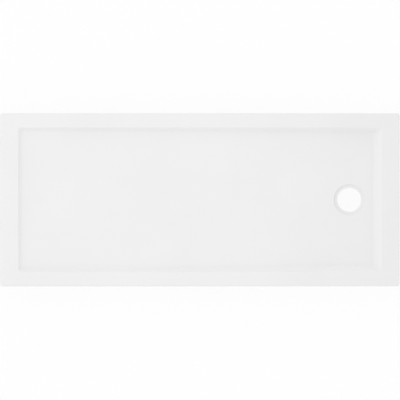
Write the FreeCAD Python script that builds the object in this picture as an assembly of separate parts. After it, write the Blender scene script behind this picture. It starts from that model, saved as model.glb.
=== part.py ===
"""Rectangular low-profile shower tray on adjustable legs, in millimetres.

A glossy white acrylic sheet is formed into a flat rim, a turned-down skirt and a shallow
recess, whose floor falls from the far end to a waste hole near the other end. Underneath, a
glass-fibre coat backs the sheet, a wedge of resin core levels the sloping floor, and a flat
board takes the screw legs. Timber rails stiffen the rim.

Frame: +X runs along the tray to the waste end, +Y across it, +Z up.
Origin: on the ground, under the middle of the tray, with every leg at mid travel.
"""

import FreeCAD
import Part
import math
import os

Vector = FreeCAD.Vector
UP = Vector(0, 0, 1)

# ---- tray outline ------------------------------------------------------------------------
tray_length = 1500.0
tray_width = 650.0
skirt_height = 45.0          # rim surface down to the skirt's lower edge
outer_corner_radius = 9.0    # skirt corners, seen from above
sharpest_corner = 1.0        # least radius of the same corners on the faces beneath
outer_edge_radius = 5.0      # where the rim turns down into the skirt

# ---- recess ------------------------------------------------------------------------------
rim_far_end = 68.0           # rim widths, outside of the skirt to the recess
rim_waste_end = 68.0
rim_side = 54.0
far_wall_angle = 46.0        # slopes of the recess walls, from level, in degrees
waste_wall_angle = 38.0
side_wall_angle = 45.0
far_depth = 11.0             # floor depth below the rim at the foot of the far end wall
floor_fall = 0.0065          # fall of the floor towards the waste end, mm per mm
corner_radius = 14.0         # rounding between neighbouring walls
foot_radius = 14.0           # rounding between wall and floor
rim_edge_radius = 3.0        # rounding between rim and wall

# ---- waste hole --------------------------------------------------------------------------
waste_from_end = 188.0       # hole centre to the waste end of the tray
waste_hole_radius = 45.0
waste_seat_radius = 57.5     # stepped seat for the waste's flange
waste_seat_depth = 5.0       # floor down to the seat, at the hole's centre line
seat_lip_chamfer = 1.5

# ---- layers under the sheet --------------------------------------------------------------
sheet_thickness = 4.0
coat_thickness = 2.5
coat_from_skirt_edge = 5.0   # the coat stops this far above the skirt's lower edge
board_thickness = 12.0
board_from_wall = 8.0        # board edge, in from the top edge of the recess
board_corner_radius = 20.0
core_from_board_edge = 30.0  # the core stays clear of the sloping walls above it
trap_opening_radius = 70.0   # opening in board and core round the waste

# ---- rim rails ---------------------------------------------------------------------------
rail_height = 25.0
rail_width = 30.0
rail_from_skirt = 6.0        # gap between the coat on the skirt and the rail
rail_end_gap = 8.0           # between the long rails' sides and the short rails' ends

# ---- legs --------------------------------------------------------------------------------
legs_along = 3
legs_across = 2
leg_from_board_end = 78.0
leg_from_board_side = 50.0
leg_travel = 15.0            # each way from mid travel
thread_radius = 6.0
thread_clearance = 0.1
tip_above_nut = 2.0          # spindle still standing above the nut at full extension
end_gap = 1.0                # left at each end of the travel

pad_size = 56.0
pad_thickness = 4.0
pad_chamfer = 10.0
pad_rib_thickness = 4.0
pad_rib_height = 7.0
pad_rib_from_edge = 4.0
cup_floor = 5.0              # ground to the seat of the spindle's head
cup_height = 14.0            # ground to the top of the cup
cup_wall = 3.5               # at the flats of the cup's six-sided outside
head_flats = 17.0
head_height = 15.0
head_clearance = 0.3         # round the corners of the head

nut_flats = 19.0
captive_nut_height = 10.0
lock_nut_height = 6.0
pocket_clearance = 0.15

socket_plate = 64.0
socket_plate_thickness = 4.0
socket_plate_chamfer = 6.0
socket_wall = 4.0            # round the captive nut's pocket
socket_bore_clearance = 0.6
gusset_thickness = 4.0
gusset_height = 18.0
gusset_from_plate_edge = 6.0

# ---- heights, from the ground up ---------------------------------------------------------
head_top = cup_floor + head_height
lock_nut_bottom = head_top + leg_travel + end_gap
socket_bottom = lock_nut_bottom + lock_nut_height
captive_nut_top = socket_bottom + captive_nut_height
spindle_top = captive_nut_top + leg_travel + tip_above_nut
skirt_bottom = spindle_top + leg_travel + end_gap
board_top = skirt_bottom + board_thickness
rim_top = skirt_bottom + skirt_height

# ---- plan positions ----------------------------------------------------------------------
far_edge_x = -tray_length / 2 + rim_far_end
waste_edge_x = tray_length / 2 - rim_waste_end
side_edge_y = tray_width / 2 - rim_side
waste_x = tray_length / 2 - waste_from_end
board_half_width = side_edge_y - board_from_wall
backing = sheet_thickness + coat_thickness

# Each wall's run in plan for 1 mm of depth, and its shift in plan for 1 mm of skin.
far_run = 1 / math.tan(math.radians(far_wall_angle))
waste_run = 1 / math.tan(math.radians(waste_wall_angle))
side_run = 1 / math.tan(math.radians(side_wall_angle))
far_shift = 1 / math.sin(math.radians(far_wall_angle))
waste_shift = 1 / math.sin(math.radians(waste_wall_angle))
side_shift = 1 / math.sin(math.radians(side_wall_angle))
far_foot_x = far_edge_x + far_depth * far_run


def floor_depth(x, skin=0.0):
    """Depth below the rim of the sloping floor plane, lowered by a skin's thickness."""
    return far_depth + floor_fall * (x - far_foot_x) + skin * math.hypot(1, floor_fall)


seat_level = rim_top - floor_depth(waste_x) - waste_seat_depth


def solid_from(faces):
    """One solid closed by flat faces, each a list of corner points."""
    made = [Part.Face(Part.makePolygon([*corners, corners[0]])) for corners in faces]
    solid = Part.Solid(Part.Shell(made))
    if solid.Volume < 0:
        solid.reverse()
    return solid


def box_between(x_low, x_high, y_low, y_high, bottom, top):
    size = (x_high - x_low, y_high - y_low, top - bottom)
    return Part.makeBox(*size, Vector(x_low, y_low, bottom))


def disc(radius, bottom, top, x=0.0, y=0.0):
    return Part.makeCylinder(radius, top - bottom, Vector(x, y, bottom), UP)


def corner_reach(flats):
    """Middle to corner of a regular six-sided outline, from its size across flats."""
    return flats / 2 / math.cos(math.radians(30))


def hexagon(flats, bottom, top, x=0.0, y=0.0):
    """Six-sided prism, two of its flats facing +Y and -Y."""
    reach = corner_reach(flats)
    turns = [math.radians(60 * i) for i in range(7)]
    points = [Vector(x + reach * math.cos(t), y + reach * math.sin(t), bottom) for t in turns]
    return Part.Face(Part.makePolygon(points)).extrude(UP * (top - bottom))


def upright_edges(shape):
    return [e for e in shape.Edges if abs(e.tangentAt(e.FirstParameter).z) > 0.999]


def edges_at_height(shape, z):
    return [e for e in shape.Edges if all(abs(v.Z - z) < 1e-6 for v in e.Vertexes)]


# ---- forming surfaces --------------------------------------------------------------------
# Each takes a skin: 0 gives the sheet's outer face, more gives the face that far beneath it.


def outer_form(skin, bottom):
    """The outside of rim and skirt."""
    half_length = tray_length / 2 - skin
    half_width = tray_width / 2 - skin
    top = rim_top - skin
    form = box_between(-half_length, half_length, -half_width, half_width, bottom, top)
    form = form.makeFillet(max(outer_corner_radius - skin, sharpest_corner), upright_edges(form))
    if skin == 0:
        form = form.makeFillet(outer_edge_radius, edges_at_height(form, top))
    return form


def recess_form(skin):
    """The recess: four sloping walls down to a floor plane that falls to the waste end."""
    above = skirt_height
    far_x = far_edge_x - skin * far_shift
    waste_side_x = waste_edge_x + skin * waste_shift
    side_y = side_edge_y + skin * side_shift
    far_floor = floor_depth(far_x, skin) / (1 - floor_fall * far_run)
    waste_floor = floor_depth(waste_side_x, skin) / (1 + floor_fall * waste_run)

    def far_corner(depth, side):
        return Vector(far_x + depth * far_run, side * (side_y - depth * side_run), rim_top - depth)

    def waste_corner(depth, side):
        x = waste_side_x - depth * waste_run
        return Vector(x, side * (side_y - depth * side_run), rim_top - depth)

    def ring(far, waste):
        corners = [far_corner(far, -1), waste_corner(waste, -1)]
        return corners + [waste_corner(waste, 1), far_corner(far, 1)]

    top = ring(-above, -above)
    foot = ring(far_floor, waste_floor)
    walls = [[top[i - 1], top[i], foot[i], foot[i - 1]] for i in range(4)]
    form = solid_from([top, foot, *walls])
    mitres = [e for e in form.Edges if e.BoundBox.ZMin < rim_top < e.BoundBox.ZMax]
    form = form.makeFillet(corner_radius + skin, mitres)
    feet = [e for e in form.Edges if e.BoundBox.ZMax < rim_top]
    return form.makeFillet(foot_radius + skin, feet)


def waste_form(skin):
    """Stepped seat round the waste hole, with a sloped lip, turned about the hole's axis."""
    level = seat_level - skin
    wall = waste_seat_radius + skin
    seat = disc(wall, level, rim_top, waste_x)
    if skin > 0:
        return seat
    lip = rim_top - floor_depth(waste_x)
    start = wall - waste_seat_depth / 2
    end = wall + seat_lip_chamfer
    rise = end - start
    base = Vector(waste_x, 0, lip + seat_lip_chamfer - rise)
    return seat.fuse(Part.makeCone(start, end, rise, base, UP))


def under(skin, bottom):
    """Everything inside the skirt and below the forming surfaces at this skin."""
    return outer_form(skin, bottom).cut(recess_form(skin)).cut(waste_form(skin))


def waste_bore():
    return disc(waste_hole_radius, 0, rim_top, waste_x)


def trap_opening():
    return disc(trap_opening_radius, skirt_bottom, rim_top, waste_x)


def below(height):
    """A height well clear of a layer's lower edge, for the tool that hollows it."""
    return height - skirt_height


# ---- layers ------------------------------------------------------------------------------


def acrylic_shell():
    solid = under(0.0, skirt_bottom)
    shell = solid.cut(under(sheet_thickness, below(skirt_bottom))).cut(waste_bore())

    def beside_recess(edge):
        """Whether an edge lies within the middle line of the rim on all sides."""
        middle = edge.BoundBox.Center
        low_x = far_edge_x - rim_far_end / 2
        high_x = waste_edge_x + rim_waste_end / 2
        return low_x < middle.x < high_x and abs(middle.y) < side_edge_y + rim_side / 2

    rim_edges = [e for e in edges_at_height(shell, rim_top) if beside_recess(e)]
    return shell.makeFillet(rim_edge_radius, rim_edges)


def glass_fibre_coat():
    bottom = skirt_bottom + coat_from_skirt_edge
    coat = under(sheet_thickness, bottom).cut(under(backing, below(bottom)))
    return coat.cut(waste_bore())


def board_outline(inset, bottom, top):
    """The board's rectangle, drawn in on all sides."""
    x_low = far_edge_x + board_from_wall + inset
    x_high = waste_edge_x - board_from_wall - inset
    half_width = board_half_width - inset
    return box_between(x_low, x_high, -half_width, half_width, bottom, top)


def resin_core():
    core = board_outline(core_from_board_edge, board_top, rim_top)
    return core.common(under(backing, skirt_bottom)).cut(trap_opening())


def base_board():
    board = board_outline(0.0, skirt_bottom, board_top)
    board = board.makeFillet(board_corner_radius, upright_edges(board))
    return board.cut(trap_opening())


def rim_rails():
    """Four timber rails bonded up under the rim."""
    top = rim_top - backing
    bottom = top - rail_height
    outer_x = tray_length / 2 - backing - rail_from_skirt
    outer_y = tray_width / 2 - backing - rail_from_skirt
    inner_x = outer_x - rail_width
    inner_y = outer_y - rail_width
    short_y = inner_y - rail_end_gap
    return {
        "rim_rail_front": box_between(-outer_x, outer_x, -outer_y, -inner_y, bottom, top),
        "rim_rail_back": box_between(-outer_x, outer_x, inner_y, outer_y, bottom, top),
        "rim_rail_far_end": box_between(-outer_x, -inner_x, -short_y, short_y, bottom, top),
        "rim_rail_waste_end": box_between(inner_x, outer_x, -short_y, short_y, bottom, top),
    }


# ---- legs --------------------------------------------------------------------------------


def spread(low, high, count):
    return [low + (high - low) * i / (count - 1) for i in range(count)]


def leg_places():
    """Leg axes, row by row from the far end."""
    reach = board_from_wall + leg_from_board_end
    along = spread(far_edge_x + reach, waste_edge_x - reach, legs_along)
    reach_y = board_half_width - leg_from_board_side
    across = spread(-reach_y, reach_y, legs_across)
    return [(x, y) for x in along for y in across]


def square_plate(size, chamfer, bottom, top, x, y):
    """Square plate with its upright corners cut off."""
    half = size / 2
    plate = box_between(x - half, x + half, y - half, y + half, bottom, top)
    return plate.makeChamfer(chamfer, upright_edges(plate))


def gussets(tube_flats, reach, thickness, root, tip, x, y):
    """Four ribs round a six-sided tube, from a plate at height root to the height tip."""
    inside = tube_flats / 4
    side = -thickness / 2
    outline = [
        Vector(inside, side, root),
        Vector(reach, side, root),
        Vector(tube_flats / 2, side, tip),
        Vector(inside, side, tip),
    ]
    rib = Part.Face(Part.makePolygon([*outline, outline[0]])).extrude(Vector(0, thickness, 0))
    ribs = []
    for quarter in range(4):
        turned = rib.copy()
        turned.rotate(Vector(0, 0, 0), UP, 90 * quarter)
        turned.translate(Vector(x, y, 0))
        ribs.append(turned)
    return ribs


def leg_socket(x, y):
    """Moulded socket: plate, six-sided tube with the captive nut's pocket, four gussets."""
    plate_bottom = skirt_bottom - socket_plate_thickness
    tube_flats = nut_flats + 2 * (pocket_clearance + socket_wall)
    reach = socket_plate / 2 - gusset_from_plate_edge
    tip = plate_bottom - gusset_height
    plate = square_plate(socket_plate, socket_plate_chamfer, plate_bottom, skirt_bottom, x, y)
    tube = hexagon(tube_flats, socket_bottom, skirt_bottom, x, y)
    ribs = gussets(tube_flats, reach, gusset_thickness, plate_bottom, tip, x, y)
    bore_radius = thread_radius + socket_bore_clearance
    pocket = hexagon(nut_flats + 2 * pocket_clearance, socket_bottom, captive_nut_top, x, y)
    socket = plate.fuse([tube, *ribs]).cut(pocket)
    return socket.cut(disc(bore_radius, socket_bottom, skirt_bottom, x, y)).removeSplitter()


def nut(height, bottom, x, y):
    body = hexagon(nut_flats, bottom, bottom + height, x, y)
    return body.cut(disc(thread_radius + thread_clearance, bottom, bottom + height, x, y))


def spindle(x, y):
    """Threaded spindle, its long six-sided head seated in the foot's cup."""
    head = hexagon(head_flats, cup_floor, head_top, x, y)
    return head.fuse(disc(thread_radius, head_top, spindle_top, x, y))


def foot(x, y):
    """Ribbed pad with a cup, six-sided outside, that the spindle's head turns in."""
    bore_radius = corner_reach(head_flats) + head_clearance
    cup_flats = 2 * (bore_radius + cup_wall)
    reach = pad_size / 2 - pad_rib_from_edge
    tip = pad_thickness + pad_rib_height
    pad = square_plate(pad_size, pad_chamfer, 0, pad_thickness, x, y)
    cup = hexagon(cup_flats, 0, cup_height, x, y)
    ribs = gussets(cup_flats, reach, pad_rib_thickness, pad_thickness, tip, x, y)
    solid = pad.fuse([cup, *ribs])
    return solid.cut(disc(bore_radius, cup_floor, cup_height, x, y)).removeSplitter()


# ---- assembly ----------------------------------------------------------------------------


def tray_nodes():
    places = leg_places()
    nodes = {
        "acrylic_shell": acrylic_shell(),
        "glass_fibre_coat": glass_fibre_coat(),
        "resin_core": resin_core(),
        "base_board": base_board(),
        **rim_rails(),
    }
    for number, (x, y) in enumerate(places, start=1):
        nodes[f"leg_socket_{number}"] = leg_socket(x, y)
        nodes[f"leg_spindle_{number}"] = spindle(x, y)
        nodes[f"leg_foot_{number}"] = foot(x, y)
    captive = [nut(captive_nut_height, socket_bottom, x, y) for x, y in places]
    locking = [nut(lock_nut_height, lock_nut_bottom, x, y) for x, y in places]
    nodes["captive_nuts"] = Part.makeCompound(captive)
    nodes["lock_nuts"] = Part.makeCompound(locking)
    return nodes


def main():
    os.makedirs("parts", exist_ok=True)
    for name, shape in tray_nodes().items():
        sound = all(s.isValid() and s.isClosed() for s in shape.Solids)
        count = len(shape.Solids)
        print(f"{name}: {count} solid(s), {shape.Volume / 1000:.1f} cm3, sound {sound}")
        shape.exportStep(f"parts/{name}.step")
    print(f"skirt bottom {skirt_bottom:.1f}, rim top {rim_top:.1f}, legs {leg_places()}")
    print(f"waste at x {waste_x:.1f}, floor there {rim_top - floor_depth(waste_x):.2f},", end=" ")
    print(f"seat {seat_level:.2f}, floor foot at the waste end", end=" ")
    waste_floor = floor_depth(waste_edge_x) / (1 + floor_fall * waste_run)
    print(f"{waste_floor:.2f} below the rim")


main()
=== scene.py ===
import bmesh
import bpy
import math
from mathutils import Matrix, Vector


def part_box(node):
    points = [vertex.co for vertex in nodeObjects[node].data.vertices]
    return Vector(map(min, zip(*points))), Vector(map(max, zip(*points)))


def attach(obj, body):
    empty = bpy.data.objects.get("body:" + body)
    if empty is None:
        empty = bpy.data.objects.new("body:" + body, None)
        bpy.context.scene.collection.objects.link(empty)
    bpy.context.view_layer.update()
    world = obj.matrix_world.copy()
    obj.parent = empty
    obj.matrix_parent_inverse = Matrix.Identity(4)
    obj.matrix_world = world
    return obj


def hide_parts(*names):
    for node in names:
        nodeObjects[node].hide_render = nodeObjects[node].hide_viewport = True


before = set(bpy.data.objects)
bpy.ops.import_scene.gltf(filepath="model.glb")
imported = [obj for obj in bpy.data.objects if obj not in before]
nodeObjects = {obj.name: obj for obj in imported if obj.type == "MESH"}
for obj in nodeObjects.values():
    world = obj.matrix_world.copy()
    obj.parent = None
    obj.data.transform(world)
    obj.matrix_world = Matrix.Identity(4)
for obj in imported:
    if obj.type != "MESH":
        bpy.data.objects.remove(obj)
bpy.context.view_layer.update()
up = Vector((0, 0, 1))
touching = 1e-6             # vertices nearer than this are one
print("frame loaded:", len(nodeObjects), "nodes")


# camera, straight above the tray, as the photo is taken

view = {
    "height": 20.0,         # lens above the rim
    "frameWidth": 1.5019,   # width of the rim plane that fills the picture
    "aside": (0.0009, -0.0009),
    "sensor": 36,
    "farthest": 100,
}

shellLow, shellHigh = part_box("acrylic_shell")
rimTop = shellHigh[2]
skirtBottom = shellLow[2]

cameraData = bpy.data.cameras.new("camera")
camera = bpy.data.objects.new("camera", cameraData)
bpy.context.scene.collection.objects.link(camera)
bpy.context.scene.camera = camera
cameraData.sensor_width = view["sensor"]
cameraData.lens = view["sensor"] * view["height"] / view["frameWidth"]
cameraData.clip_end = view["farthest"]
camera.location = (*view["aside"], rimTop + view["height"])
print("camera placed")


# small helpers for meshes

shading = {"sharpAngle": 35.0, "weight": 60}


def toObject(name, bm, material):
    mesh = bpy.data.meshes.new(name)
    bm.to_mesh(mesh)
    bm.free()
    mesh.materials.append(material)
    made = bpy.data.objects.new(name, mesh)
    bpy.context.scene.collection.objects.link(made)
    return made


def addPiece(name, bm, body, material):
    for edge in bm.edges:
        bent = edge.is_manifold and edge.calc_face_angle(0) > math.radians(shading["sharpAngle"])
        edge.smooth = not bent
    for face in bm.faces:
        face.smooth = True
    piece = toObject(name, bm, material)
    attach(piece, body)
    evenShade = piece.modifiers.new("evenShade", "WEIGHTED_NORMAL")
    evenShade.keep_sharp = True
    evenShade.weight = shading["weight"]
    return piece


def bevelled(bm, edges, offset, segments):
    bmesh.ops.bevel(bm, geom=edges, offset=offset, offset_type="OFFSET", segments=segments,
                    profile=0.5, affect="EDGES", material=-1, clamp_overlap=False)


def roundEdges(bm, edges, radius, segments):
    angles = [e.calc_face_angle(0) for e in edges]
    turn = sum(angles) / len(angles)
    bevelled(bm, edges, radius * math.tan(turn / 2), segments)


def pulled(bm, loop):
    made = bmesh.ops.extrude_edge_only(bm, edges=loop)["geom"]
    verts = [g for g in made if isinstance(g, bmesh.types.BMVert)]
    fresh = set(verts)
    edges = [g for g in made if isinstance(g, bmesh.types.BMEdge) and set(g.verts) <= fresh]
    return verts, edges


def ringTo(bm, loop, radius, z, x=0.0, y=0.0):
    verts, edges = pulled(bm, loop)
    for vert in verts:
        away = Vector((vert.co.x - x, vert.co.y - y, 0)).normalized() * radius
        vert.co = Vector((x + away.x, y + away.y, z))
    return edges


def level(edge, z):
    return all(abs(v.co.z - z) < touching for v in edge.verts)


def biggest(faces):
    return max(faces, key=lambda f: f.calc_area())


def joined(parts):
    whole = bmesh.new()
    for part in parts:
        holder = bpy.data.meshes.new("holder")
        part.to_mesh(holder)
        part.free()
        whole.from_mesh(holder)
        bpy.data.meshes.remove(holder)
    return whole


# small helpers for materials

def startMaterial(name):
    material = bpy.data.materials.new(name)
    material.use_nodes = True
    tree = material.node_tree
    place = tree.nodes.new("ShaderNodeTexCoord")
    return material, tree, tree.nodes["Principled BSDF"], place.outputs["Object"]


def mapped(tree, place, scale=(1, 1, 1), turn=(0, 0, 0)):
    mapping = tree.nodes.new("ShaderNodeMapping")
    mapping.inputs["Scale"].default_value = scale
    mapping.inputs["Rotation"].default_value = [math.radians(t) for t in turn]
    tree.links.new(place, mapping.inputs["Vector"])
    return mapping.outputs["Vector"]


def noise(tree, place, scale, detail, roughness=0.5, distortion=0.0):
    texture = tree.nodes.new("ShaderNodeTexNoise")
    texture.inputs["Scale"].default_value = scale
    texture.inputs["Detail"].default_value = detail
    texture.inputs["Roughness"].default_value = roughness
    texture.inputs["Distortion"].default_value = distortion
    tree.links.new(place, texture.inputs["Vector"])
    return texture.outputs["Fac"]


def cellsOf(tree, place, scale):
    texture = tree.nodes.new("ShaderNodeTexVoronoi")
    texture.inputs["Scale"].default_value = scale
    tree.links.new(place, texture.inputs["Vector"])
    return texture.outputs


def combine(tree, kind, *values):
    worked = tree.nodes.new("ShaderNodeMath")
    worked.operation = kind
    for socket, value in zip(worked.inputs, values):
        if isinstance(value, (int, float)):
            socket.default_value = value
        else:
            tree.links.new(value, socket)
    return worked.outputs["Value"]


def weighted(tree, *parts):                 # each part is a value and its share
    total = 0.0
    for value, share in parts:
        total = combine(tree, "MULTIPLY_ADD", value, share, total)
    return total


def spreadTo(tree, value, low, high, fromLow=0.3, fromHigh=0.7):    # most noise lies in 0.3 to 0.7
    spread = tree.nodes.new("ShaderNodeMapRange")
    spread.inputs["From Min"].default_value = fromLow
    spread.inputs["From Max"].default_value = fromHigh
    spread.inputs["To Min"].default_value = low
    spread.inputs["To Max"].default_value = high
    tree.links.new(value, spread.inputs["Value"])
    return spread.outputs["Result"]


def colourFrom(tree, shader, value, tones):
    ramp = tree.nodes.new("ShaderNodeValToRGB")
    elements = ramp.color_ramp.elements
    while len(elements) < len(tones):
        elements.new(0.5)
    for element, (position, colour) in zip(elements, tones):
        element.position = position
        element.color = (*colour, 1)
    tree.links.new(value, ramp.inputs["Fac"])
    tree.links.new(ramp.outputs["Color"], shader.inputs["Base Color"])


def roughFrom(tree, shader, value, spread):
    tree.links.new(spreadTo(tree, value, *spread), shader.inputs["Roughness"])


def bump(tree, shader, height, distance):
    relief = tree.nodes.new("ShaderNodeBump")
    relief.inputs["Strength"].default_value = 1.0
    relief.inputs["Distance"].default_value = distance
    tree.links.new(height, relief.inputs["Height"])
    tree.links.new(relief.outputs["Normal"], shader.inputs["Normal"])


# materials: scales are per metre, relief is in metres, tones are (place on the ramp, colour)

acrylic = {
    "tones": ((0.35, (0.872, 0.872, 0.872)), (0.65, (0.885, 0.885, 0.885))), "cloudScale": 5.0,
    "rough": (0.13, 0.19), "wipeScale": 14.0, "wipeStretch": (1, 3, 1), "wipeTurn": (0, 0, 20),
    "peelScale": 130.0, "relief": 0.00002, "ior": 1.49,
}


def makeAcrylic():
    material, tree, shader, place = startMaterial("whiteAcrylic")
    colourFrom(tree, shader, noise(tree, place, acrylic["cloudScale"], 3.0), acrylic["tones"])
    wiped = mapped(tree, place, acrylic["wipeStretch"], acrylic["wipeTurn"])
    roughFrom(tree, shader, noise(tree, wiped, acrylic["wipeScale"], 6.0), acrylic["rough"])
    bump(tree, shader, noise(tree, place, acrylic["peelScale"], 1.0), acrylic["relief"])
    shader.inputs["IOR"].default_value = acrylic["ior"]
    return material


glassFibre = {
    "tones": ((0.05, (0.66, 0.62, 0.49)), (0.9, (0.86, 0.85, 0.79))),   # resin, strands
    "strandLength": 0.030, "strandWidth": 0.0016, "strandCut": (0.57, 0.68),
    "turns": (8, 37, 66, 95, 124, 153), "lean": (0.6, 0.3),
    "poolScale": 22.0, "poolCover": (0.3, 1.0), "poolRelief": 1.5, "wanderScale": 40.0,
    "strandShare": 0.75, "wanderShare": 0.3, "rough": (0.28, 0.6), "relief": 0.0006,
}


def makeGlassFibre():
    material, tree, shader, place = startMaterial("glassFibreResin")
    thin, long = 1 / glassFibre["strandWidth"], 1 / glassFibre["strandLength"]
    leanX, leanY = glassFibre["lean"]
    strands = 0.0
    for turn in glassFibre["turns"]:        # chopped strands lie in all directions
        turned = mapped(tree, place, turn=(turn * leanX, turn * leanY, turn))
        layer = noise(tree, mapped(tree, turned, (long, thin, thin)), 1.0, 1.0, 0.4, 0.3)
        layer = spreadTo(tree, layer, 0, 1, *glassFibre["strandCut"])
        strands = combine(tree, "MAXIMUM", strands, layer)
    pools = noise(tree, place, glassFibre["poolScale"], 3.0)
    cover = spreadTo(tree, pools, *glassFibre["poolCover"])
    shown = combine(tree, "MULTIPLY", strands, cover)
    wander = noise(tree, place, glassFibre["wanderScale"], 1.0)
    tone = weighted(tree, (shown, glassFibre["strandShare"]), (wander, glassFibre["wanderShare"]))
    colourFrom(tree, shader, tone, glassFibre["tones"])
    roughFrom(tree, shader, pools, glassFibre["rough"])
    height = weighted(tree, (shown, 1.0), (pools, glassFibre["poolRelief"]))
    bump(tree, shader, height, glassFibre["relief"])
    return material


chipboard = {
    "tones": ((0.22, (0.27, 0.17, 0.09)), (0.48, (0.52, 0.37, 0.22)), (0.78, (0.74, 0.60, 0.41))),
    "chips": ((15, 620), (75, 760), (140, 900)),        # turn in degrees, chips to the metre
    "chipShape": (0.34, 1, 1.6), "ragged": 0.004, "raggedScale": 300.0,
    "fineScale": 1600.0, "broadScale": 9.0, "broadTone": 0.06,
    "chipShare": 0.75, "fineShare": 0.25, "rough": (0.55, 0.75), "relief": 0.0003,
}


def makeChipboard():
    material, tree, shader, place = startMaterial("pressedChipboard")
    ragged = noise(tree, place, chipboard["raggedScale"], 3.0)
    ragged = combine(tree, "MULTIPLY", ragged, chipboard["ragged"])
    layers = []
    for turn, count in chipboard["chips"]:
        turned = mapped(tree, place, turn=(0, 0, turn))
        shifted = tree.nodes.new("ShaderNodeVectorMath")
        shifted.operation = "ADD"
        tree.links.new(mapped(tree, turned, chipboard["chipShape"]), shifted.inputs[0])
        tree.links.new(ragged, shifted.inputs[1])
        cells = cellsOf(tree, shifted.outputs["Vector"], count)
        tone = tree.nodes.new("ShaderNodeSeparateColor")
        tree.links.new(cells["Color"], tone.inputs["Color"])
        layers.append((tone.outputs["Red"], chipboard["chipShare"] / len(chipboard["chips"])))
    fine = noise(tree, place, chipboard["fineScale"], 3.0)
    broad = noise(tree, place, chipboard["broadScale"], 3.0)
    broad = spreadTo(tree, broad, -chipboard["broadTone"], chipboard["broadTone"])
    mixed = weighted(tree, *layers, (fine, chipboard["fineShare"]), (broad, 1.0))
    colourFrom(tree, shader, mixed, chipboard["tones"])
    roughFrom(tree, shader, fine, chipboard["rough"])
    bump(tree, shader, mixed, chipboard["relief"])
    return material


resin = {
    "tones": ((0.3, (0.52, 0.48, 0.39)), (0.7, (0.70, 0.66, 0.56))), "cloudScale": 35.0,
    "bubbleScale": 320.0, "bubbleEdge": (0.05, 0.25), "rough": (0.4, 0.65), "relief": 0.0003,
}


def makeResin():
    material, tree, shader, place = startMaterial("castResin")
    cloud = noise(tree, place, resin["cloudScale"], 5.0, 0.6)
    colourFrom(tree, shader, cloud, resin["tones"])
    roughFrom(tree, shader, cloud, resin["rough"])
    bubbles = cellsOf(tree, place, resin["bubbleScale"])["Distance"]
    pits = spreadTo(tree, bubbles, 0, 1, *resin["bubbleEdge"])
    bump(tree, shader, combine(tree, "ADD", pits, cloud), resin["relief"])
    return material


softwood = {
    "tones": ((0.22, (0.80, 0.62, 0.40)), (0.95, (0.50, 0.31, 0.15))),  # early wood, late wood
    "ringWidth": 0.0034, "ringTilt": 27, "stretch": (0.05, 1, 1), "waver": 13.0,
    "wanderScale": 16.0, "fibres": (12, 700, 700), "sawMarks": (420, 25, 25),
    "shares": (0.42, 0.35, 0.4),            # rings, fibres, wander
    "rough": (0.6, 0.8), "relief": 0.0002,
}
bandStep = 0.314            # from band to band of a wave texture at a scale of 1


def makeSoftwood(name, turn):
    material, tree, shader, place = startMaterial(name)
    turned = mapped(tree, place, turn=(0, 0, turn))
    tilted = mapped(tree, turned, turn=(softwood["ringTilt"], 0, 0))
    stretched = mapped(tree, tilted, softwood["stretch"])
    rings = tree.nodes.new("ShaderNodeTexWave")
    rings.wave_type = "BANDS"
    rings.bands_direction = "Z"
    rings.wave_profile = "SAW"
    rings.inputs["Scale"].default_value = bandStep / softwood["ringWidth"]
    rings.inputs["Distortion"].default_value = softwood["waver"]
    rings.inputs["Detail"].default_value = 3.0
    rings.inputs["Detail Scale"].default_value = 0.5
    tree.links.new(stretched, rings.inputs["Vector"])
    fibre = noise(tree, mapped(tree, turned, softwood["fibres"]), 1.0, 3.0, 0.7)
    wander = noise(tree, stretched, softwood["wanderScale"], 3.0)
    layers = zip((rings.outputs["Fac"], fibre, wander), softwood["shares"])
    colourFrom(tree, shader, weighted(tree, *layers), softwood["tones"])
    roughFrom(tree, shader, fibre, softwood["rough"])
    sawn = noise(tree, mapped(tree, turned, softwood["sawMarks"]), 1.0, 1.0)
    bump(tree, shader, combine(tree, "ADD", fibre, sawn), softwood["relief"])
    return material


zinc = {
    "tones": ((0.3, (0.50, 0.51, 0.53)), (0.5, (0.70, 0.71, 0.73)), (0.75, (0.66, 0.64, 0.58))),
    "cloudScale": 90.0, "grainScale": 900.0, "grainStretch": (1, 1, 6),
    "rough": (0.24, 0.42), "relief": 0.00003,
}


def makeZinc():
    material, tree, shader, place = startMaterial("zincPlatedSteel")
    colourFrom(tree, shader, noise(tree, place, zinc["cloudScale"], 4.0, 0.6), zinc["tones"])
    grain = noise(tree, mapped(tree, place, zinc["grainStretch"]), zinc["grainScale"], 2.0)
    roughFrom(tree, shader, grain, zinc["rough"])
    bump(tree, shader, grain, zinc["relief"])
    shader.inputs["Metallic"].default_value = 1.0
    return material


nylon = {
    "tones": ((0.35, (0.018, 0.018, 0.020)), (0.7, (0.034, 0.034, 0.037))),
    "flowScale": 60.0, "flowStretch": (1, 1, 0.4), "grainScale": 1500.0,
    "rough": (0.38, 0.52), "relief": 0.00004,
}


def makeNylon():
    material, tree, shader, place = startMaterial("mouldedNylon")
    flow = noise(tree, mapped(tree, place, nylon["flowStretch"]), nylon["flowScale"], 3.0)
    colourFrom(tree, shader, flow, nylon["tones"])
    roughFrom(tree, shader, flow, nylon["rough"])
    bump(tree, shader, noise(tree, place, nylon["grainScale"], 2.0), nylon["relief"])
    return material


whiteAcrylic = makeAcrylic()
glassFibreResin = makeGlassFibre()
pressedChipboard = makeChipboard()
castResin = makeResin()
timberLong = makeSoftwood("sawnTimberLong", 0)
timberShort = makeSoftwood("sawnTimberShort", 90)
zincSteel = makeZinc()
blackNylon = makeNylon()
print("materials made")


# the formed sheet and its lining

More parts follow.
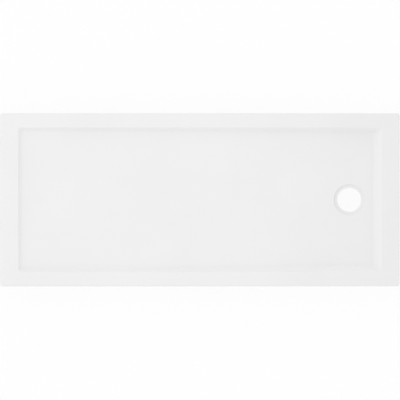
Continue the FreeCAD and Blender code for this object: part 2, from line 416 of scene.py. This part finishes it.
tray = {
    "rimFar": 0.068, "rimWaste": 0.068, "rimSide": 0.054,
    "farWall": 46.0, "wasteWall": 38.0, "sideWall": 45.0,       # slopes in degrees
    "farDepth": 0.011, "fall": 0.0065,
    "cornerRound": 0.014, "footRound": 0.014, "recessSteps": 10,
    "rimRound": 0.003, "rimSteps": 5,
    "rimStrip": (1.012, 1.03),              # how far the rounding's face reaches on to the rim
    "outerCorner": 0.009, "cornerSteps": 8, "outerEdge": 0.005, "edgeSteps": 6,
    "sheet": 0.004, "coat": 0.0025, "coatBottom": 0.005,
}
waste = {
    "fromEnd": 0.188, "seatRadius": 0.0575, "seatDepth": 0.005, "holeRadius": 0.045,
    "lipRound": 0.0012, "footRound": 0.0010, "seatSteps": 5,
    "holeRound": 0.0010, "holeSteps": 6, "steps": 96,
    "tiltFrom": 0.002,                      # above the seat, where the cup takes the floor's slope
}

farEdge = shellLow[0] + tray["rimFar"]
wasteEdge = shellHigh[0] - tray["rimWaste"]
sideEdge = shellHigh[1] - tray["rimSide"]
wasteX = shellHigh[0] - waste["fromEnd"]

# each wall's run in plan for a metre of depth, and its shift in plan for a metre of skin
slopes = [math.radians(tray[wall]) for wall in ("farWall", "wasteWall", "sideWall")]
farRun, wasteRun, sideRun = (1 / math.tan(slope) for slope in slopes)
farShift, wasteShift, sideShift = (1 / math.sin(slope) for slope in slopes)


def floorDepth(x, skin=0.0):
    start = farEdge + tray["farDepth"] * farRun
    return tray["farDepth"] + tray["fall"] * (x - start) + skin * math.hypot(1, tray["fall"])


seatLevel = rimTop - floorDepth(wasteX) - waste["seatDepth"]


def rounding(centreR, centreZ, radius, startAngle, endAngle, count):
    step = (endAngle - startAngle) / count
    angles = [math.radians(startAngle + step * i) for i in range(count + 1)]
    return [(centreR + radius * math.cos(a), centreZ + radius * math.sin(a)) for a in angles]


def wasteProfile(skin):
    bore = waste["holeRadius"]
    if skin:
        wall, seat = waste["seatRadius"] + skin, seatLevel - skin
        return [(wall, rimTop - floorDepth(wasteX, skin)), (wall, seat), (bore, seat)]
    floorLevel = rimTop - floorDepth(wasteX)
    lip, foot, hole = waste["lipRound"], waste["footRound"], waste["holeRound"]
    count = waste["seatSteps"]
    points = rounding(waste["seatRadius"] + lip, floorLevel - lip, lip, 90, 180, count)
    points += rounding(waste["seatRadius"] - foot, seatLevel + foot, foot, 0, -90, count)
    points += rounding(bore + hole, seatLevel - hole, hole, 90, 180, waste["holeSteps"])
    return points + [(bore, seatLevel - tray["sheet"])]


def outerForm(bm, skin, top, bottom):
    length, width = (shellHigh[axis] - shellLow[axis] - 2 * skin for axis in (0, 1))
    middle = Matrix.Translation((0, 0, (top + bottom) / 2))
    size = Matrix.Diagonal((length, width, top - bottom, 1))
    bmesh.ops.create_cube(bm, size=1, matrix=middle @ size)
    uprights = [e for e in bm.edges if not level(e, e.verts[0].co.z)]
    roundEdges(bm, uprights, tray["outerCorner"] - skin, tray["cornerSteps"])
    if not skin:
        rimEdges = [e for e in bm.edges if level(e, top)]
        roundEdges(bm, rimEdges, tray["outerEdge"], tray["edgeSteps"])
    lids = sorted(bm.faces, key=lambda f: f.calc_area())[-2:]      # the block's top and bottom
    bmesh.ops.delete(bm, geom=lids, context="FACES_ONLY")
    return [e for e in bm.edges if e.is_boundary and level(e, top)]


def recessForm(bm, skin):
    farX = farEdge - skin * farShift
    wasteSideX = wasteEdge + skin * wasteShift
    sideY = sideEdge + skin * sideShift
    farFloor = floorDepth(farX, skin) / (1 - tray["fall"] * farRun)
    wasteFloor = floorDepth(wasteSideX, skin) / (1 + tray["fall"] * wasteRun)

    def corner(end, side, depth):
        x = farX + depth * farRun if end < 0 else wasteSideX - depth * wasteRun
        return Vector((x, side * (sideY - depth * sideRun), rimTop - depth))

    turns = [(-1, -1), (1, -1), (1, 1), (-1, 1)]
    corners = [bm.verts.new(corner(end, side, skin)) for end, side in turns]
    edgeLoop = [bm.edges.new((corners[i - 1], corners[i])) for i in range(4)]
    verts, footLoop = pulled(bm, edgeLoop)
    for vert in verts:
        end = -1 if vert.co.x < 0 else 1
        side = -1 if vert.co.y < 0 else 1
        vert.co = corner(end, side, farFloor if end < 0 else wasteFloor)
    bmesh.ops.contextual_create(bm, geom=footLoop)
    tops, fresh = set(corners), set(corners) | set(verts)
    mitres = [e for e in bm.edges if len(set(e.verts) & tops) == 1 and set(e.verts) <= fresh]
    faces = [f for f in bm.faces if set(f.verts) <= fresh]
    bmesh.ops.recalc_face_normals(bm, faces=faces)
    roundEdges(bm, mitres, tray["cornerRound"] + skin, tray["recessSteps"])
    feet = list(biggest(bm.faces).edges)                    # the floor is the biggest face
    roundEdges(bm, feet, tray["footRound"] + skin, tray["recessSteps"])
    floor = biggest(bm.faces)
    floorLoop = list(floor.edges)
    bmesh.ops.delete(bm, geom=[floor], context="FACES_ONLY")
    return floorLoop


def closeRim(bm, skin, top, rimLoop):
    rimEdges = set(rimLoop)

    def inside():
        return [e for e in bm.edges if e.is_boundary and level(e, top) and e not in rimEdges]

    wallTop = inside()                      # a strip out from it, so that it can be rounded
    verts, stripLoop = pulled(bm, wallTop)
    for vert in verts:
        vert.co.x *= tray["rimStrip"][0]
        vert.co.y *= tray["rimStrip"][1]
    if not skin:
        roundEdges(bm, wallTop, tray["rimRound"], tray["rimSteps"])
        stripLoop = inside()
    bmesh.ops.triangle_fill(bm, use_beauty=True, use_dissolve=False, edges=rimLoop + stripLoop,
                            normal=up)


def wasteCup(bm, skin):
    before = set(bm.verts)
    points = [bm.verts.new((wasteX + r, 0, z)) for r, z in wasteProfile(skin)]
    chain = [bm.edges.new(pair) for pair in zip(points, points[1:])]
    bmesh.ops.spin(bm, geom=points + chain, cent=(wasteX, 0, 0), axis=up, angle=math.tau,
                   steps=waste["steps"], use_merge=True)
    cup = [v for v in bm.verts if v not in before]
    tiltFrom = seatLevel - skin + waste["tiltFrom"]
    for vert in cup:                        # the seat is level, but its lip lies in the sloping floor
        if vert.co.z > tiltFrom:
            vert.co.z -= tray["fall"] * (vert.co.x - wasteX)
    reach = {v: math.hypot(v.co.x - wasteX, v.co.y) for v in cup}
    widest = max(reach.values()) - 10 * touching
    lip = {v for v in cup if reach[v] > widest and v.co.z > tiltFrom}
    return [e for e in bm.edges if e.is_boundary and set(e.verts) <= lip]


def traySkin(skin, bottom):
    bm = bmesh.new()
    top = rimTop - skin
    rimLoop = outerForm(bm, skin, top, bottom)
    floorLoop = recessForm(bm, skin)
    closeRim(bm, skin, top, rimLoop)
    lipLoop = wasteCup(bm, skin)
    bmesh.ops.triangle_fill(bm, use_beauty=True, use_dissolve=False, edges=floorLoop + lipLoop,
                            normal=Vector((tray["fall"], 0, 1)).normalized())
    return bm


def closeBetween(bm, inner, outer):
    targets = {v for e in outer for v in e.verts}
    for vert in pulled(bm, inner)[0]:
        vert.co = min(targets, key=lambda t: (t.co - vert.co).length).co
    bmesh.ops.remove_doubles(bm, verts=bm.verts, dist=touching)


def trayLayer(outerSkin, innerSkin, bottom):
    bm = joined([traySkin(outerSkin, bottom), traySkin(innerSkin, bottom)])
    bmesh.ops.remove_doubles(bm, verts=bm.verts, dist=touching)
    skirtX = shellHigh[0] - (outerSkin + innerSkin) / 2
    skirtY = shellHigh[1] - (outerSkin + innerSkin) / 2

    def onOuter(edge):
        return all(abs(v.co.x) > skirtX or abs(v.co.y) > skirtY for v in edge.verts)

    # the two skins are joined along the skirt's lower edge and round the hole
    lower = [e for e in bm.edges if e.is_boundary and level(e, bottom)]
    closeBetween(bm, [e for e in lower if not onOuter(e)], [e for e in lower if onOuter(e)])
    bore = [e for e in bm.edges if e.is_boundary]
    if bore:                                # the sheet's hole is closed already, the coat's isn't
        closeBetween(bm, [e for e in bore if level(e, seatLevel - innerSkin)],
                     [e for e in bore if level(e, seatLevel - outerSkin)])
    bmesh.ops.recalc_face_normals(bm, faces=bm.faces)
    return bm


sheet, lined = tray["sheet"], tray["sheet"] + tray["coat"]
shellMesh = trayLayer(0.0, sheet, skirtBottom)
shell = addPiece("trayShell", shellMesh, "tray", whiteAcrylic)
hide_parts("acrylic_shell")
liningMesh = trayLayer(sheet, lined, skirtBottom + tray["coatBottom"])
lining = addPiece("fibreLining", liningMesh, "tray", glassFibreResin)
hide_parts("glass_fibre_coat")
print("tray made")


# board, core and rails

edging = {
    "board": 0.0006, "rail": 0.0008, "moulding": 0.0004, "steps": 2,
    "flat": 1, "bent": 25,      # degrees: flatter edges go, sharper ones are softened
}


def softened(node, name, body, material, offset):
    bm = bmesh.new()
    bm.from_mesh(nodeObjects[node].data)
    bmesh.ops.remove_doubles(bm, verts=bm.verts, dist=touching)
    flat, bent = math.radians(edging["flat"]), math.radians(edging["bent"])
    bmesh.ops.dissolve_limit(bm, angle_limit=flat, verts=bm.verts, edges=bm.edges)
    sharp = [e for e in bm.edges if e.is_manifold and e.calc_face_angle(0) > bent]
    bevelled(bm, sharp, offset, edging["steps"])
    piece = addPiece(name, bm, body, material)
    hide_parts(node)


softened("base_board", "chipBoard", "tray", pressedChipboard, edging["board"])
for node, name, timber in (
        ("rim_rail_front", "railFront", timberLong),
        ("rim_rail_back", "railBack", timberLong),
        ("rim_rail_far_end", "railFarEnd", timberShort),
        ("rim_rail_waste_end", "railWasteEnd", timberShort)):
    softened(node, name, "tray", timber, edging["rail"])
for slot in nodeObjects["resin_core"].material_slots:
    slot.material = castResin
print("board and rails made")


# legs

leg = {
    "count": 6, "nutFlats": 0.019, "headFlats": 0.017, "headHeight": 0.015,
    "threadRadius": 0.006, "pitch": 0.00175, "boreRadius": 0.0061, "rodSteps": 48,
    "rodSunk": 0.0005, "collarTop": 0.0010, "neckTop": 0.0022, "endChamfer": 0.0004,
}
thread = {
    "depth": 0.6134, "end": 0.97,           # as shares of the pitch
    "flank": ((0, 0.11), (1, 0.42), (1, 0.55), (0, 0.86)),      # out in depths, along in pitches
    "steps": 24, "sunk": 0.0002, "start": 0.0012, "tipChamfer": 0.0012,
    "runout": 0.0025, "runoutSlope": 0.5,
}
hexagon = {
    "sideCuts": 5, "chamfer": 30.0, "mouth": 0.0007,
    "chamferStart": 0.012, "faceRadius": 0.475,     # as shares of the width over the flats
}
screw = {
    "reach": 0.0225, "plate": 0.004,
    "turns": (37, 53),                      # degrees from leg to leg, and from screw to screw
    "headRadius": 0.0040, "headHeight": 0.0024, "ringRadius": 0.0021,
    "slotHalf": 0.0004, "slotReach": 0.0017, "slotDepth": 0.0013, "slotTaper": 0.6,
    "dome": ((0.72, 0.06), (0.86, 0.20), (0.96, 0.42), (1.0, 0.70), (1.0, 1.0)),    # out, up
}
rootRadius = leg["threadRadius"] - thread["depth"] * leg["pitch"]
halfSide = math.radians(30)     # half a side of a hexagon, seen from its middle


def axisOf(node):
    low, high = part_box(node)
    return (low[0] + high[0]) / 2, (low[1] + high[1]) / 2


def hexRing(bm, flats, z, x, y):
    before = set(bm.edges)
    place = Matrix.Translation((x, y, z)) @ Matrix.Rotation(halfSide, 4, "Z")
    bmesh.ops.create_circle(bm, segments=6, radius=flats / 2 / math.cos(halfSide), matrix=place)
    sides = [e for e in bm.edges if e not in before]
    bmesh.ops.subdivide_edges(bm, edges=sides, cuts=hexagon["sideCuts"])
    return [e for e in bm.edges if e not in before]


def hexBody(bm, flats, bottom, top, x, y, bore=None):
    low = hexRing(bm, flats, bottom, x, y)
    verts, high = pulled(bm, low)
    bmesh.ops.translate(bm, verts=verts, vec=(0, 0, top - bottom))
    slope = math.tan(math.radians(hexagon["chamfer"]))
    bores = []
    for loop, z, inward in ((low, bottom, 1), (high, top, -1)):
        for vert in {v for e in loop for v in e.verts}:
            past = math.hypot(vert.co.x - x, vert.co.y - y) - flats / 2
            vert.co.z = z + inward * (past * slope + flats * hexagon["chamferStart"])
        face = ringTo(bm, loop, flats * hexagon["faceRadius"], z, x, y)
        if bore:
            mouth = ringTo(bm, face, bore + hexagon["mouth"], z, x, y)
            bores += ringTo(bm, mouth, bore, z + inward * hexagon["mouth"], x, y)
        else:
            bmesh.ops.contextual_create(bm, geom=face)
    if bore:
        bmesh.ops.bridge_loops(bm, edges=bores)


def threadRidge(bottom, top):
    pitch, outer = leg["pitch"], leg["threadRadius"]
    depth, sunk = outer - rootRadius, rootRadius - thread["sunk"]
    flank = [(rootRadius + depth * out, pitch * along) for out, along in thread["flank"]]
    profile = [(sunk, 0.0), *flank, (sunk, pitch * thread["end"])]
    turns = (top - bottom) / pitch - 1
    steps = round(turns * thread["steps"])
    bm = bmesh.new()
    verts = [bm.verts.new((r, 0, bottom + z)) for r, z in profile]
    face = bm.faces.new(verts)
    bmesh.ops.spin(bm, geom=[face, *face.edges, *verts], axis=up, angle=turns * math.tau,
                   dvec=(0, 0, turns * pitch / steps), steps=steps, use_merge=False,
                   use_duplicate=False)
    limit = top - thread["tipChamfer"]
    for vert in bm.verts:
        away = Vector((vert.co.x, vert.co.y, 0))
        allowed = outer - max(0.0, vert.co.z - limit)
        runout = outer - max(0.0, bottom + thread["runout"] - vert.co.z) * thread["runoutSlope"]
        away *= min(away.length, allowed, runout) / away.length
        vert.co.x, vert.co.y = away.x, away.y
    bmesh.ops.recalc_face_normals(bm, faces=bm.faces)
    ridge = bpy.data.meshes.new("ridge")
    bm.to_mesh(ridge)
    bm.free()
    return ridge


def spindle(number, ridge):
    low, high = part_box(f"leg_spindle_{number}")
    x, y = axisOf(f"leg_spindle_{number}")
    rod, headTop = leg["threadRadius"], low[2] + leg["headHeight"]
    bm = bmesh.new()
    hexBody(bm, leg["headFlats"], low[2], headTop, x, y)
    place = Matrix.Translation((x, y, headTop - leg["rodSunk"]))
    made = bmesh.ops.create_circle(bm, segments=leg["rodSteps"], radius=rod, matrix=place)["verts"]
    base = list({e for v in made for e in v.link_edges})
    loop, tip = list(base), leg["endChamfer"]
    for radius, z in ((rod, headTop + leg["collarTop"]), (rootRadius, headTop + leg["neckTop"]),
                      (rootRadius, high[2] - tip), (rootRadius - tip, high[2])):
        loop = ringTo(bm, loop, radius, z, x, y)
    bmesh.ops.contextual_create(bm, geom=loop)
    bmesh.ops.contextual_create(bm, geom=base)
    bmesh.ops.recalc_face_normals(bm, faces=bm.faces)
    wound = bmesh.new()
    wound.from_mesh(ridge)
    bmesh.ops.translate(wound, verts=wound.verts, vec=(x, y, 0))
    piece = addPiece(f"threadedSpindle_{number}", joined([bm, wound]), f"spindle_{number}",
                     zincSteel)
    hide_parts(f"leg_spindle_{number}")


def nutSet(node, name):
    low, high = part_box(node)
    bm = bmesh.new()
    for number in range(1, leg["count"] + 1):
        x, y = axisOf(f"leg_spindle_{number}")
        hexBody(bm, leg["nutFlats"], low[2], high[2], x, y, leg["boreRadius"])
    bmesh.ops.recalc_face_normals(bm, faces=bm.faces)
    piece = addPiece(name, bm, "tray", zincSteel)
    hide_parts(node)


def screwHead(bm, x, y, top, turn):
    half, reach = screw["slotHalf"], screw["slotReach"]
    low = top - screw["headHeight"]
    start = set(bm.verts)
    verts = []
    for quarter in range(4):                # the cross slot, then its pit, then the domed head
        turned = Matrix.Rotation(math.radians(turn + 90 * quarter), 4, "Z")
        for px, py in ((reach, -half), (reach, half), (half, half)):
            verts.append(bm.verts.new(turned @ Vector((px, py, 0)) + Vector((x, y, low))))
    cross = [bm.edges.new((verts[i - 1], verts[i])) for i in range(len(verts))]
    pit, pitLoop = pulled(bm, cross)
    for vert in pit:
        inward = Vector((vert.co.x - x, vert.co.y - y, 0)) * screw["slotTaper"]
        vert.co = Vector((x, y, low + screw["slotDepth"])) + inward
    bmesh.ops.contextual_create(bm, geom=pitLoop)
    loop = ringTo(bm, cross, screw["ringRadius"], low, x, y)
    cut = bmesh.ops.subdivide_edges(bm, edges=loop, cuts=1)["geom_inner"]
    inner = {v for e in loop for v in e.verts}
    inner |= {g for g in cut if isinstance(g, bmesh.types.BMVert)}
    loop = [e for e in bm.edges if e.is_boundary and set(e.verts) <= inner]
    for out, rise in screw["dome"]:
        loop = ringTo(bm, loop, screw["headRadius"] * out, low + screw["headHeight"] * rise, x, y)
    bmesh.ops.contextual_create(bm, geom=loop)
    fresh = [f for f in bm.faces if not set(f.verts) & start]
    bmesh.ops.recalc_face_normals(bm, faces=fresh)


def socketScrews():
    bm = bmesh.new()
    legTurn, screwTurn = screw["turns"]
    for number in range(1, leg["count"] + 1):
        low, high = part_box(f"leg_socket_{number}")
        x, y = axisOf(f"leg_socket_{number}")
        for corner, (right, back) in enumerate(((1, 1), (-1, 1), (-1, -1), (1, -1))):
            turn = (number * legTurn + corner * screwTurn) % 90
            screwHead(bm, x + right * screw["reach"], y + back * screw["reach"],
                      high[2] - screw["plate"], turn)
    addPiece("socketScrews", bm, "tray", zincSteel)


firstLow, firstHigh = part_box("leg_spindle_1")
ridge = threadRidge(firstLow[2] + leg["headHeight"] + thread["start"], firstHigh[2])
for number in range(1, leg["count"] + 1):
    for node, name, body in ((f"leg_socket_{number}", f"legSocket_{number}", "tray"),
                             (f"leg_foot_{number}", f"legFoot_{number}", f"foot_{number}")):
        softened(node, name, body, blackNylon, edging["moulding"])
    spindle(number, ridge)
bpy.data.meshes.remove(ridge)
nutSet("captive_nuts", "captiveNuts")
nutSet("lock_nuts", "lockNuts")
socketScrews()
print("legs made")


# floor, lamp and world

stage = {
    "floorSize": 12.0, "floorBelow": 0.0003, "floorRough": 0.9, "cloudScale": 2.0,
    "floorTones": ((0.3, (0.90, 0.90, 0.90)), (0.7, (0.91, 0.91, 0.91))),
    "clearToCamera": 0.95,                  # the rest of the floor keeps the tray's shadow
}
light = {
    "world": 0.965, "fromLeft": 0.08, "fromBack": 0.034, "fromSides": 0.5, "evenAt": 0.5,
    "boxPlace": (-0.6, 0.2, 2.6), "boxSize": 2.2, "boxPower": 7.0,
}


def toCamera(tree, lit, seen, amount):
    path = tree.nodes.new("ShaderNodeLightPath")
    rays = combine(tree, "MAXIMUM", path.outputs["Is Camera Ray"], path.outputs["Is Glossy Ray"])
    rays = combine(tree, "MAXIMUM", rays, path.outputs["Is Transmission Ray"])
    mix = tree.nodes.new("ShaderNodeMixShader")
    tree.links.new(combine(tree, "MULTIPLY", rays, amount), mix.inputs["Fac"])
    tree.links.new(lit, mix.inputs[1])
    tree.links.new(seen, mix.inputs[2])
    return mix.outputs["Shader"]


def makeFloor():
    bm = bmesh.new()
    bmesh.ops.create_grid(bm, x_segments=1, y_segments=1, size=stage["floorSize"] / 2,
                          matrix=Matrix.Translation((0, 0, -stage["floorBelow"])))
    material, tree, shader, place = startMaterial("paleFloor")
    colourFrom(tree, shader, noise(tree, place, stage["cloudScale"], 2.0), stage["floorTones"])
    shader.inputs["Roughness"].default_value = stage["floorRough"]
    clear = tree.nodes.new("ShaderNodeBsdfTransparent").outputs["BSDF"]
    above = toCamera(tree, shader.outputs["BSDF"], clear, stage["clearToCamera"])
    sides = tree.nodes.new("ShaderNodeNewGeometry")
    oneSided = tree.nodes.new("ShaderNodeMixShader")        # nothing hides the tray from below
    tree.links.new(sides.outputs["Backfacing"], oneSided.inputs["Fac"])
    tree.links.new(above, oneSided.inputs[1])
    tree.links.new(clear, oneSided.inputs[2])
    tree.links.new(oneSided.outputs["Shader"], tree.nodes["Material Output"].inputs["Surface"])
    floor = toObject("studioFloor", bm, material)


def makeWorld():
    world = bpy.data.worlds.new("studioWorld")
    bpy.context.scene.world = world
    world.use_nodes = True
    tree = world.node_tree
    place = tree.nodes.new("ShaderNodeTexCoord")
    parts = tree.nodes.new("ShaderNodeSeparateXYZ")
    tree.links.new(place.outputs["Generated"], parts.inputs["Vector"])
    lowDown = combine(tree, "SUBTRACT", light["evenAt"], parts.outputs["Z"])
    slope = weighted(tree, (parts.outputs["X"], -light["fromLeft"]),
                     (parts.outputs["Y"], light["fromBack"]), (lowDown, light["fromSides"]))
    strength = combine(tree, "MULTIPLY", combine(tree, "ADD", slope, 1.0), light["world"])
    lit = tree.nodes["Background"]
    white = tree.nodes.new("ShaderNodeBackground")
    for background in (lit, white):
        background.inputs["Color"].default_value = (1, 1, 1, 1)
    tree.links.new(strength, lit.inputs["Strength"])
    shown = toCamera(tree, lit.outputs["Background"], white.outputs["Background"], 1.0)
    tree.links.new(shown, tree.nodes["World Output"].inputs["Surface"])


def makeLamp():
    lampData = bpy.data.lights.new("softBox", "AREA")
    lampData.shape = "SQUARE"
    lampData.size = light["boxSize"]
    lampData.energy = light["boxPower"]
    lamp = bpy.data.objects.new("softBox", lampData)
    lamp.location = light["boxPlace"]
    lamp.rotation_euler = (-lamp.location).to_track_quat("-Z", "Y").to_euler()
    bpy.context.scene.collection.objects.link(lamp)


makeFloor()
makeWorld()
makeLamp()
bpy.context.scene.view_settings.view_transform = "Standard"
print("stage set")
